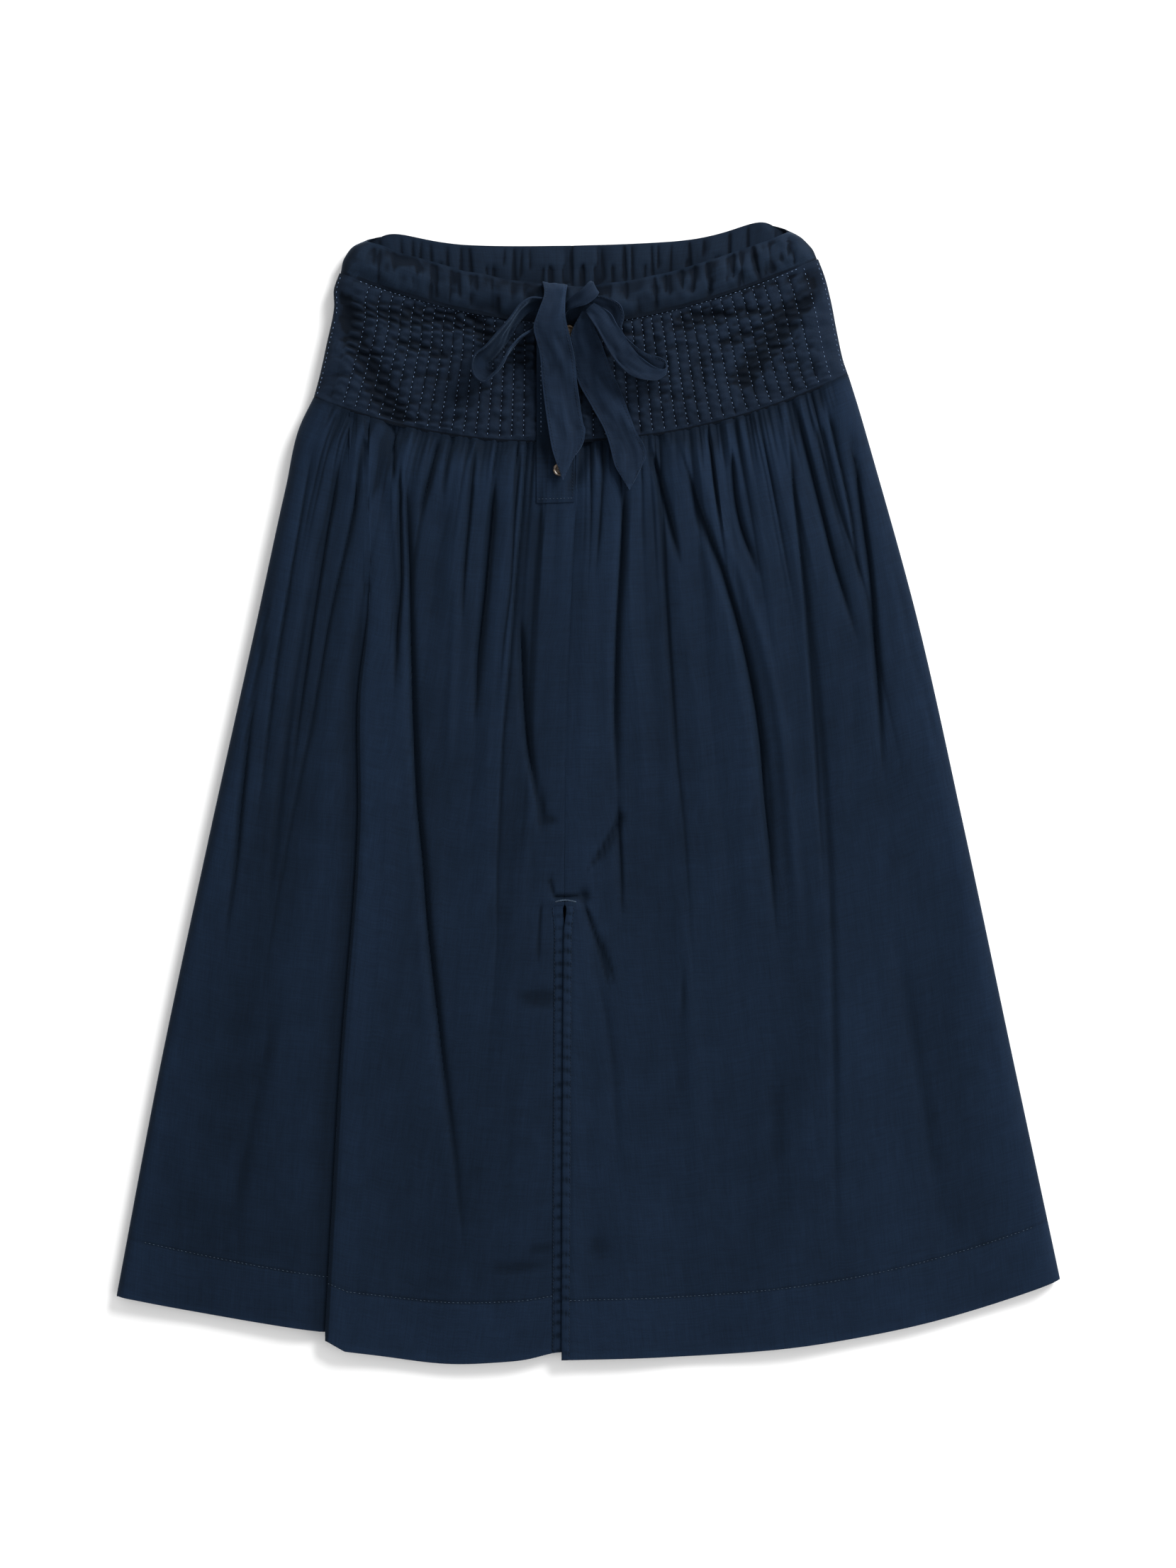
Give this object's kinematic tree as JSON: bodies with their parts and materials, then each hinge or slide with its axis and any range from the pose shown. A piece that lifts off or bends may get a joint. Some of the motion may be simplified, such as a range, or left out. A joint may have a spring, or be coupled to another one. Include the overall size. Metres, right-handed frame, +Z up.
{
  "type": "gathered midi skirt",
  "caption": "Midi skirt laid flat: quilted yoke, gathered body with a centre front slit, and a drawstring waistband tied in a bow over a buttoned placket.",
  "frame": {"origin": "centre of the base of the bounding box, on the surface that the skirt lies on", "axes": "+Y from the hem to the waist, +X to the right as the front is looked at, +Z up out of the front"},
  "size_m": [0.7359, 0.8886, 0.0449],
  "materials": {
    "skirt_cloth": "navy cotton twill, matt with a faint sheen at grazing angles",
    "yoke_cloth": "navy cotton, quilted in running stitches, matt",
    "band_cloth": "navy cotton casing, matt",
    "tie_cloth": "lighter navy twill tie, matt",
    "horn": "brown horn, semi-gloss"
  },
  "bodies": {
    "root": {"skirt_front_left": "skirt_cloth", "skirt_front_right": "skirt_cloth", "skirt_back": "skirt_cloth", "yoke_front_left": "yoke_cloth", "yoke_front_right": "yoke_cloth", "yoke_back": "yoke_cloth", "placket": "yoke_cloth", "band_front": "band_cloth", "band_back": "band_cloth", "tie_knot": "tie_cloth", "tie_loop_left": "tie_cloth", "tie_loop_right": "tie_cloth", "tie_tail_left": "tie_cloth", "tie_tail_right": "tie_cloth", "button_top": "horn", "button_low": "horn"}
  },
  "joints": []
}
